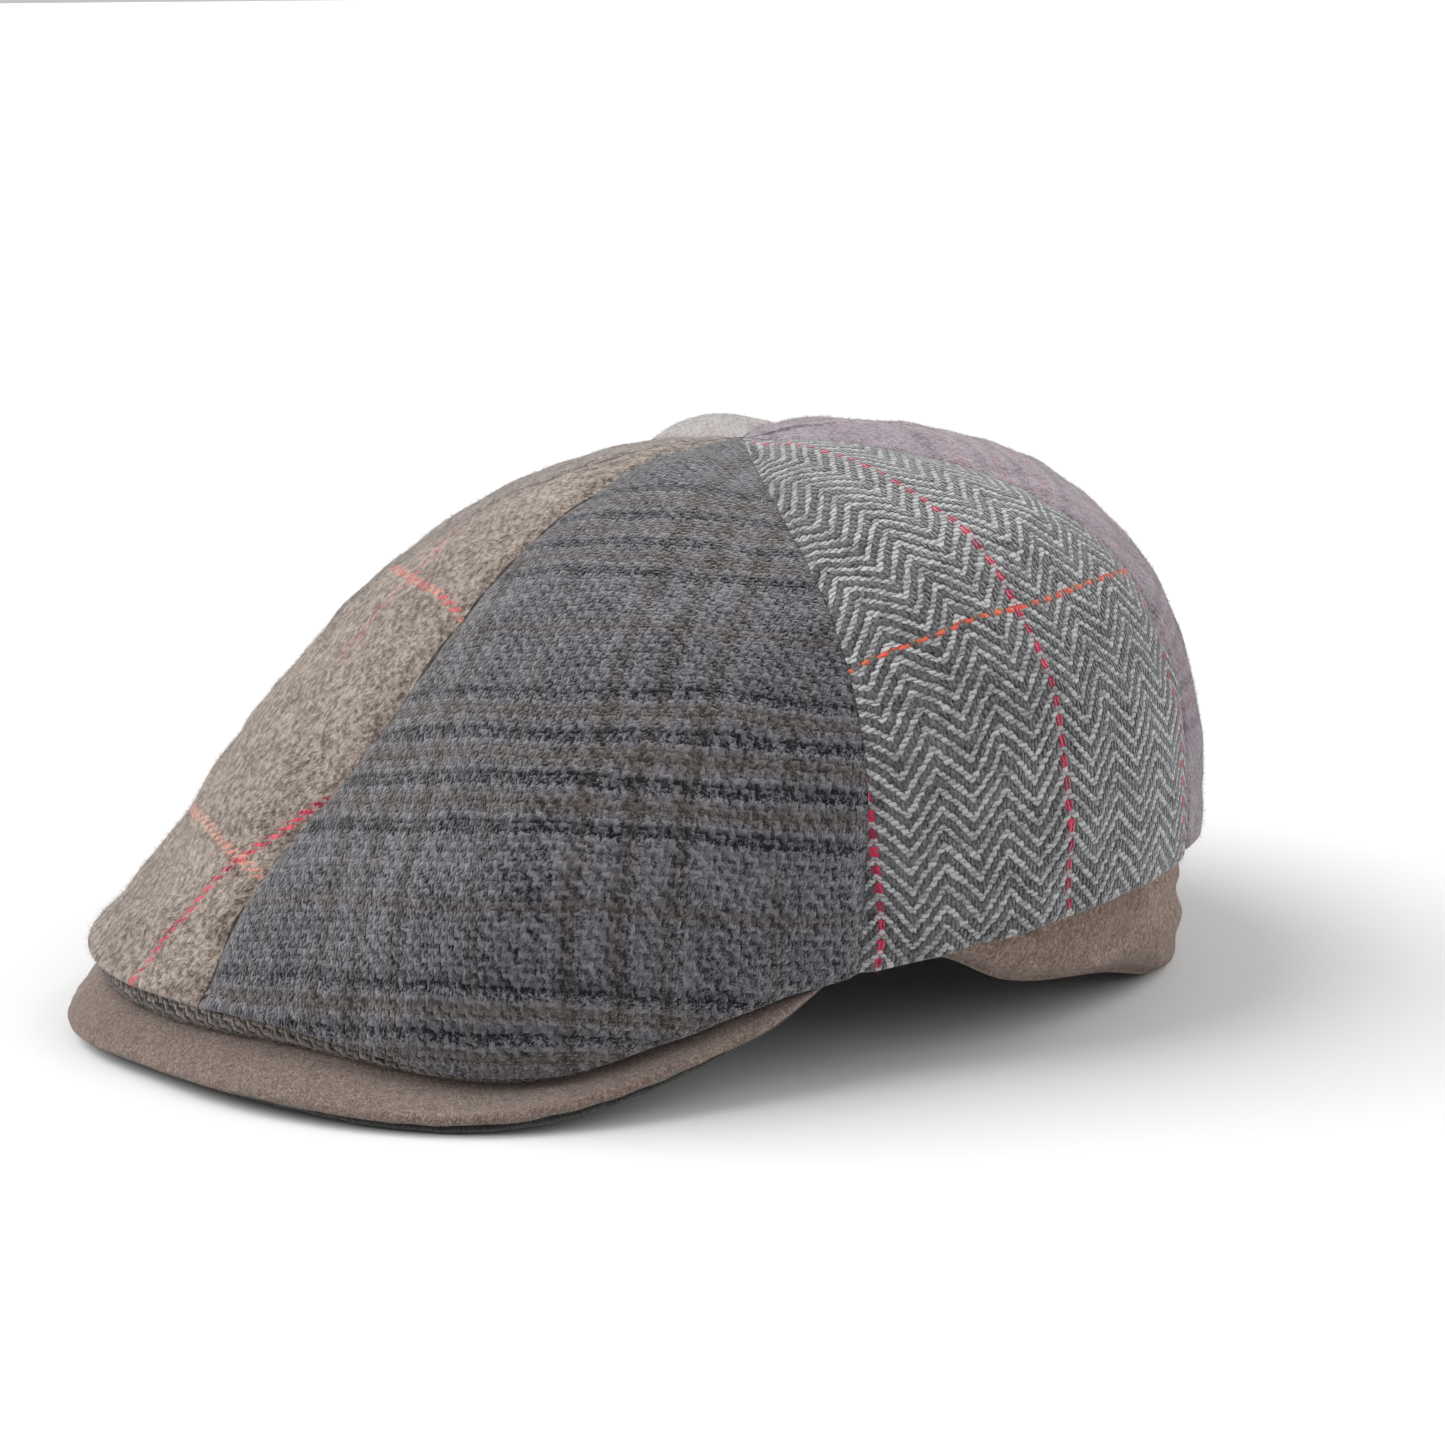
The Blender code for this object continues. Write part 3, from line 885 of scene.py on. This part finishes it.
def woven(finish, weave, wander):
    """A two-and-two twill: which thread is on top, how light it is with painted shade between its yarns,
    and how high it stands.
    """
    across = (finish.wander(finish.u, wander, WANDER_SCALE, 3) - weave.origin) / weave.end
    along = finish.wander(finish.v, wander, WANDER_SCALE, 8) / weave.pick
    row = along.floor()
    thread = across.floor()
    step = abs(across % (2 * weave.turn) - weave.turn) if weave.turn else across
    stage = (row + step) % 4
    warp_up = stage < 2
    float_number = ((row + step) / 4).floor()
    crosswise = ((stage - 2) / 2).arch().top(0) * along.fract().arch()
    lengthwise = (((along + step.floor()) % 4) / 2).arch().top(0) * across.fract().arch()
    height = crosswise + lengthwise
    chance = finish.chance(warp_up * thread + (1 - warp_up) * row, float_number, warp_up)
    if weave.crosswise:
        slope = row * 0.4 + (along - 0.5) * 0.6 + step
        level = light_strokes(finish, slope, along, lengthwise, chance)
    else:
        yarn = warp_up * (thread % 2) + (1 - warp_up) * (row % 2)
        # Painted shade: each yarn is darker where it lies low, in the hollows between the threads
        level = (yarn * 0.75 + 0.1) * (chance * 0.5 + 0.6) * (height**0.5 * 0.6 + 0.5)
    return Woven(warp_up, level, height, chance)


def loose_hairs(finish):
    """Short hairs that lie mostly down the cloth, over a finer pepper; from 0 to 1."""
    strokes = finish.noise(finish.drawn_out(*HAIR_SIZE, 0.5), 1.0, 3.0, 0.75).ramp(0.3, 0.7)
    pepper = finish.noise(finish.place, PEPPER_SCALE, 2.0, 0.6).ramp(0.3, 0.7)
    return strokes * 0.5 + pepper * 0.5


def line_at(value, centre, half_width, period):
    """1 on the lines that lie a period apart, 0 between them."""
    gap = abs((value - centre + period / 2) % period - period / 2)
    return 1 - gap.ramp(half_width * 0.6, half_width * 1.3)


def grouped(value, group, offset, half_width, lines):
    """1 on each line of each group, offset by a share of the step between lines."""
    inside = (value - group.start + group.line_step * (0.5 - offset)) % group.group_step
    gap = abs(inside % group.line_step - group.line_step / 2)
    return (1 - gap.ramp(half_width * 0.4, half_width * 1.6)) * (inside < group.line_step * lines)


def between_groups(value, group, half_width):
    """1 on the thin line halfway between two groups."""
    last = group.start + group.line_step * (group.lines - 1)
    middle = (last + group.start + group.group_step) / 2
    return line_at(value, middle, half_width, group.group_step)


def plaid_lines(finish, hair, chance):
    """How much darker or lighter the plaid's lines are, and how brown; chance breaks their threads."""
    ragged = (hair - 0.5) * PLAID_RAGGEDNESS
    v = finish.v + ragged
    u = finish.u + ragged
    deep = grouped(v, PLAID_ROWS, 0.0, DEEP_ROW, 4) * (chance.ramp(0.1, 0.7) * 0.8 + 0.2)
    thin_rows = between_groups(v, PLAID_ROWS, THIN_ROW) * 0.7
    thin_columns = between_groups(u, PLAID_COLUMNS, THIN_COLUMN) * 0.7
    brown_rows = grouped(v, PLAID_ROWS, 0.5, BROWN_ROW, 3).top(thin_rows)
    brown_columns = grouped(u, PLAID_COLUMNS, 0.5, BROWN_COLUMN, 3).top(thin_columns)
    low, high = [grouped(v, PLAID_ROWS, offset, PALE_LINE, 4) for offset in (0.25, 0.75)]
    left_side, right_side = [grouped(u, PLAID_COLUMNS, offset, PALE_LINE, 3) for offset in (0.15, 0.85)]
    pale = low.top(high) + left_side + right_side
    lighter = pale * 0.13 - deep * 0.44 - brown_columns * 0.11 - brown_rows * 0.05
    return lighter, brown_rows * 0.5 + brown_columns * 0.3


def with_lines(finish, colour, cloth, hair, lines):
    """The cloth's colour with its coloured lines, which show on the threads that run their way."""
    for line in lines:
        value, other = (finish.v, finish.u) if line.crosswise else (finish.u, finish.v)
        shown = 1 - cloth.warp_up if line.crosswise else cloth.warp_up
        ragged = value + (hair - 0.5) * LINE_RAGGEDNESS
        share = line_at(ragged, line.place, line.half_width, line.period)
        share = share * (shown * 0.92 + 0.08) * (hair * 0.6 + 0.6) * line.strength
        begun = other.ramp(line.begin, line.begin + LINE_FADE)
        ended = other.ramp(line.end, line.end + LINE_FADE)
        share = (share * begun * (1 - ended)).clamped()
        yarn = finish.mix(cloth.chance.ramp(0.3, 0.7), linear(*line.second), linear(*line.colour))
        colour = finish.mix(share, colour, yarn)
    return colour


def cloth_finish(slot, weave, hand, light, dark, lines=(), brown=None, plaid=1.0):
    """A woven cloth of light and dark yarn, with loose hairs, its coloured lines, and painted shade
    between its yarns and knobs.
    """
    finish = Finish(slot)
    finish.u = finish.wander(finish.u, DRIFT, DRIFT_SCALE, 1)
    finish.v = finish.wander(finish.v, DRIFT, DRIFT_SCALE, 6)
    cloth = woven(finish, weave, hand.wander)
    hair = loose_hairs(finish)
    knobs = finish.noise(finish.place, KNOB_SCALE, 2.0, 0.55).ramp(0.3, 0.7)
    clouds = finish.noise(finish.place, CLOUD_SCALE, 2.0, 0.6)
    # Painted shade: the weave's level is darker in the hollows between the yarns
    level = 0.5 + (cloth.level - 0.5) * hand.weave + (hair - 0.5) * hand.hair
    # Painted shade: the knobs lighten the colour on their tops and darken it in the hollows between them
    level = level + (knobs - 0.5) * hand.knobs + (clouds - 0.5) * hand.clouds
    if brown:
        lighter, brownness = plaid_lines(finish, hair, cloth.chance)
        level = level + lighter * plaid
    level = level.clamped()
    colour = finish.mix(level, linear(*dark), linear(*light))
    if brown:
        brown_yarn = linear(*brown)
        browned = finish.mix(level, tuple(BROWN_SHADOW * c for c in brown_yarn), brown_yarn)
        colour = finish.mix(brownness * plaid, colour, browned)
    colour = with_lines(finish, colour, cloth, hair, lines)
    height = cloth.height * hand.weave + hair * hand.hair * 0.8 + knobs * hand.knobs * 1.5
    return wool(finish, colour, height, 0.0005, hand.sheen)


def felt_finish(slot, colour, deep, pale, size=0.0005, blotch=0.25):
    """Dense brushed wool: a fine pepper of darker and paler hairs over soft blotches."""
    finish = Finish(slot)
    colour, deep, pale = [linear(*shade) for shade in (colour, deep, pale)]
    fine = finish.noise(finish.place, 1 / size, 3.0, 0.8).ramp(0.3, 0.7)
    coarse = finish.noise(finish.place, 0.35 / size, 2.0, 0.6).ramp(0.3, 0.7)
    wide = finish.noise(finish.place, BLOTCH_SCALE, 2.0, 0.6)
    mixed = finish.mix(fine * 0.75 + coarse * 0.35, deep, colour)
    mixed = finish.mix(fine.ramp(0.6, 1.0) * 0.6, mixed, pale)
    mixed = finish.mix(wide.ramp(0.35, 0.7) * blotch, mixed, deep)
    return wool(finish, mixed, fine + coarse * 0.8, 0.0004)


# Yarn colours as screen values
CRIMSON = (190, 44, 78)
DARK_CRIMSON = (140, 40, 66)
ROSE = (200, 74, 90)
ORANGE = (208, 84, 64)
OLIVE = (168, 134, 88)
SALMON = (212, 138, 120)
PALE_SALMON = (200, 150, 134)


def crown_finishes():
    return {
        "front_panel": cloth_finish(
            "taupe_tweed", FINE_TWILL, Hand(0.3, 0.5, 0.62, 0.6, 0.0014, 0.4), (170, 156, 145),
            (88, 77, 70), [
                Line(ROSE, DARK_CRIMSON, False, 0.0, 1.0, 0.0009, 1.2, 0.110, 0.2),
                Line(ROSE, SALMON, False, -0.0255, 1.0, 0.0006, 0.7, 0.060, 0.095),
                Line(SALMON, PALE_SALMON, True, 0.143, 1.0, 0.0011, 0.8, -0.05, 0.05),
                Line(SALMON, ROSE, True, 0.0785, 1.0, 0.0011, 0.8, -0.05, 0.05)]),
        "left_front_panel": cloth_finish(
            "navy_plaid", CHECK_TWILL, Hand(0.6, 0.85, 0.3, 0.4, 0.0016, 0.5), (127, 124, 129),
            (15, 16, 24), brown=(106, 95, 84)),
        "left_rear_panel": cloth_finish(
            "herringbone", HERRINGBONE, Hand(0.85, 0.34, 0.1, 0.25, 0.0013, 0.6), (173, 173, 174),
            (33, 33, 36), [
                Line(CRIMSON, DARK_CRIMSON, False, RED_LINE_PLACE, RED_LINE_STEP, 0.0007, 1.1, 0.0, 0.3),
                Line(ORANGE, OLIVE, True, 0.0884, 1.0, 0.0006, 1.4, -0.1, 0.1)]),
        "rear_panel": cloth_finish(
            "mauve_plaid", FINE_TWILL, Hand(0.3, 0.5, 0.25, 0.5, 0.0010, 0.5), (166, 153, 161),
            (80, 73, 80), brown=(172, 124, 136), plaid=0.65),
        "right_rear_panel": cloth_finish(
            "pale_wool", FINE_TWILL, Hand(0.3, 0.45, 0.3, 0.4, 0.0010, 0.4), (190, 184, 181),
            (116, 110, 107)),
        "right_front_panel": cloth_finish(
            "taupe_check", CHECK_TWILL, Hand(0.4, 0.6, 0.3, 0.4, 0.0015, 0.4), (164, 152, 145),
            (78, 71, 68), brown=(128, 112, 103), plaid=0.5),
    }


def lower_finishes():
    return {
        "rear_band": felt_finish(
            "band_wool", (166, 141, 127), (96, 77, 67), (200, 176, 160), 0.0008, 0.3),
        "front_welt": cloth_finish(
            "welt_herringbone", CHECK_TWILL, Hand(0.9, 0.7, 0.3, 0.3, 0.0010, 0.3), (154, 141, 133),
            (30, 25, 23)),
        "peak_top": felt_finish(
            "peak_wool", (160, 138, 127), (96, 79, 71), (194, 173, 160), 0.0005, 0.15),
        "peak_underside": felt_finish("peak_lining", (66, 69, 63), (44, 46, 42), (92, 96, 90)),
    }


# The fibres of the crown's panels, its tweed, the band, the welt and the peak's top
CROWN_FUZZ = Fibres(1150000, 0.0016, 0.000024, 1.25)
TWEED_FUZZ = Fibres(1300000, 0.0018, 0.000026, 1.2)
BAND_FUZZ = Fibres(600000, 0.0010, 0.00002, 1.3)
WELT_FUZZ = Fibres(2000000, 0.0014, 0.000022, 1.2)
PEAK_FUZZ = Fibres(900000, 0.0008, 0.00002, 1.2)
FIBRES = {
    "front_panel": TWEED_FUZZ,
    "rear_band": BAND_FUZZ,
    "front_welt": WELT_FUZZ,
    "peak_top": PEAK_FUZZ,
    "peak_underside": None,
}


def band_creases(angle, height):
    """Level creases between -1 and 1 that wander up and down round the band."""
    phase = height * 2 * math.pi / CREASE_STEP
    for size, turns in CREASE_WAVES:
        phase = phase + size * np.sin(np.radians(angle) * turns)
    return np.sin(phase)


def band_mesh():
    """The back band: from inside the crown's edge, in at its waist, and round under its hem."""
    angles = np.linspace(BAND_START_ANGLE, 360 - BAND_START_ANGLE, ROUND_STEPS)
    share, angle = grid_of(np.linspace(0, 1, BAND_STEPS), angles)
    edge_reach = crown_reach(angle) - PANEL_WALL - BAND_SET_IN
    edge_height = crown_edge_height(angle) + BAND_OVERLAP
    hem_reach = column(BAND_ROWS, "reach", angle) * BAND_REACH
    hem_height = np.maximum(column(BAND_ROWS, "hem", angle) * CROWN_HEIGHT, 0)
    tall = edge_height - hem_height
    roll = np.minimum(BAND_ROLL, tall * BAND_ROLL_SHARE)
    height = edge_height - share * tall
    level = np.clip((height - hem_height) / roll, 0, 1)
    tucked = roll * (1 - np.sqrt(np.clip(1 - (1 - level) ** 2, 0, 1)))
    ease = share * share * (3 - 2 * share)
    waist = BAND_WAIST * np.sin(math.pi * np.clip(share * BAND_WAIST_PACE, 0, 1)) ** 2
    reach = edge_reach + (hem_reach - edge_reach) * ease - waist - tucked
    base = place(angle, reach, height)
    normal = direction(angle)
    fade = np.sin(math.pi * np.clip((height - hem_height) / np.maximum(tall, 1e-6), 0, 1))
    wave = BAND_CREASE * band_creases(angle, height) * fade + RIPPLE * ripple(base, BAND_SEED)
    outer = base + normal * (wave * np.clip(level, HEM_CREASE_SHARE, 1))[..., None]
    inner = place(angle, reach - BAND_WALL, height)
    fold = fold_rows(outer[-1], normal[-1], -UPWARD, BAND_WALL)
    for row in fold:
        row[:, 2] = np.maximum(row[:, 2], HEM_CLEARANCE)
    marks = np.stack([np.radians(angle) * BAND_REACH, -height], -1)
    return closed_wall(outer, inner, fold, marks)


def welt_mesh():
    """The welt: a rounded strip from under the crown's front edge to just above the peak."""
    angles = np.linspace(-WELT_END_ANGLE, WELT_END_ANGLE, ROUND_STEPS)
    share, angle = grid_of(np.linspace(0, 1, WELT_STEPS), angles)
    top = crown_edge_height(angle) + WELT_OVERLAP
    foot = peak_surface(angle, np.full_like(angle, SEAT_ACROSS))[..., 2] + WELT_CLEARANCE
    height = top + (foot - top) * share
    swell = np.sqrt(np.clip(1 - (2 * share - 1) ** 2, 0, 1))
    reach = crown_reach(angle) - WELT_SET_IN + WELT_BULGE * swell
    base = place(angle, reach, height)
    uneven = WELT_RIPPLE * ripple(base, WELT_SEED, WELT_RIPPLE_LENGTH)
    outer = base + direction(angle) * uneven[..., None]
    inner = place(angle, reach - WELT_WALL, height)
    fold = fold_rows(outer[-1], direction(angle)[-1], -UPWARD, WELT_WALL)
    marks = np.stack([np.radians(angle) * FRONT_REACH, top - height], -1)
    return closed_wall(outer, inner, fold, marks)


def peak_mesh(rim_inset, sink, wall, seed):
    """A layer of the peak, from the forehead out and round its rim."""
    angles = np.linspace(-PEAK_END_ANGLE, PEAK_END_ANGLE, ROUND_STEPS)
    share, angle = grid_of(1 - np.linspace(0, 1, PEAK_STEPS) ** PEAK_EASING, angles)
    from_end = (PEAK_END_ANGLE - np.abs(angle)) / PEAK_TUCK_SPREAD
    tuck = PEAK_END_TUCK * np.clip(1 - from_end, 0, 1) ** 2
    wall_share = column(PEAK_ROWS, "wall", angle)
    nose = wall * wall_share / 2
    start = (rim_inset + tuck + nose) / (peak_rim_reach(angle) - brow_reach(angle))
    across = start + (1 - start) * share
    normal = peak_normal(angle, across)
    thick = (wall * wall_share)[..., None]
    top = peak_surface(angle, across) - normal * (sink * wall_share)[..., None]
    uneven = PEAK_RIPPLE * ripple(top, seed, PEAK_RIPPLE_LENGTH)
    outer = top + normal * uneven[..., None]
    inner = top - normal * thick
    out = unit(outer[-1] - outer[-3])
    fold = fold_rows(outer[-1], normal[-1], out, thick[-1])
    marks = np.stack([np.radians(angle) * FRONT_REACH, share * PEAK_CLOTH_LENGTH], -1)
    return closed_wall(outer, inner, fold, marks)


def make_cap():
    finishes = {**crown_finishes(), **lower_finishes()}
    group = fibre_group()
    walls = {name: panel_mesh(name, seed) for seed, name in enumerate(PANELS)}
    walls["rear_band"] = band_mesh()
    walls["front_welt"] = welt_mesh()
    walls["peak_top"] = peak_mesh(0.0, 0.0, PEAK_BOARD, PEAK_TOP_SEED)
    under = PEAK_BOARD + PIECE_GAP
    walls["peak_underside"] = peak_mesh(UNDERSIDE_INSET, under, UNDERSIDE_WALL, PEAK_UNDERSIDE_SEED)
    for seed, (node, wall) in enumerate(walls.items()):
        make_piece(node, wall, finishes[node], group, FIBRES.get(node, CROWN_FUZZ), seed)


def make_floor():
    paper = bpy.data.materials.new("floor_paper")
    paper.use_nodes = True
    fill_inputs(paper.node_tree, paper.node_tree.nodes["Principled BSDF"], {
        "Base Color": (FLOOR_SHADE, FLOOR_SHADE, FLOOR_SHADE, 1), "Roughness": 0.9})
    bpy.ops.mesh.primitive_plane_add(size=FLOOR_SIZE, location=(0, 0, 0))
    floor = bpy.context.object
    floor.name = "floor"
    floor.data.materials.append(paper)


def camera_axes():
    """Right, up and back of the camera as unit vectors."""
    azimuth = math.radians(CAMERA_AZIMUTH)
    elevation = math.radians(CAMERA_ELEVATION)
    back = Vector((math.sin(azimuth) * math.cos(elevation),
                   -math.cos(azimuth) * math.cos(elevation),
                   math.sin(elevation)))
    across = Vector((math.cos(azimuth), math.sin(azimuth), 0))
    return across, back.cross(across), back


def make_camera():
    across, up, back = camera_axes()
    target = Vector((0, TARGET_BEHIND_MIDDLE, TARGET_HEIGHT))
    target += across * TARGET_RIGHT + up * TARGET_UP
    roll = math.radians(CAMERA_ROLL)
    rolled_across = across * math.cos(roll) - up * math.sin(roll)
    rolled_up = across * math.sin(roll) + up * math.cos(roll)
    turn = Matrix((rolled_across, rolled_up, back)).transposed()
    data = bpy.data.cameras.new("camera")
    data.lens = CAMERA_LENS
    data.sensor_width = CAMERA_SENSOR
    data.clip_start, data.clip_end = CAMERA_CLIP
    camera = new_object("camera", data)
    camera.matrix_world = Matrix.Translation(target + back * CAMERA_DISTANCE) @ turn.to_4x4()
    bpy.context.scene.camera = camera


def make_sun(sun):
    rise = math.radians(sun.elevation)
    level = Vector(direction(sun.angle)) * math.cos(rise)
    data = bpy.data.lights.new(sun.name, "SUN")
    data.angle = math.radians(sun.spread)
    data.energy = sun.strength
    light = new_object(sun.name, data)
    light.rotation_euler = (level + Vector((0, 0, math.sin(rise)))).to_track_quat("Z", "Y").to_euler()


def make_studio():
    world = bpy.data.worlds.new("studio")
    world.use_nodes = True
    fill_inputs(world.node_tree, world.node_tree.nodes["Background"], {
        "Color": (1, 1, 1, 1), "Strength": SKY_STRENGTH})
    bpy.context.scene.world = world
    for sun in SUNS:
        make_sun(sun)
    bpy.context.scene.view_settings.view_transform = "Standard"


def main():
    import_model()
    make_cap()
    make_floor()
    make_camera()
    make_studio()


main()
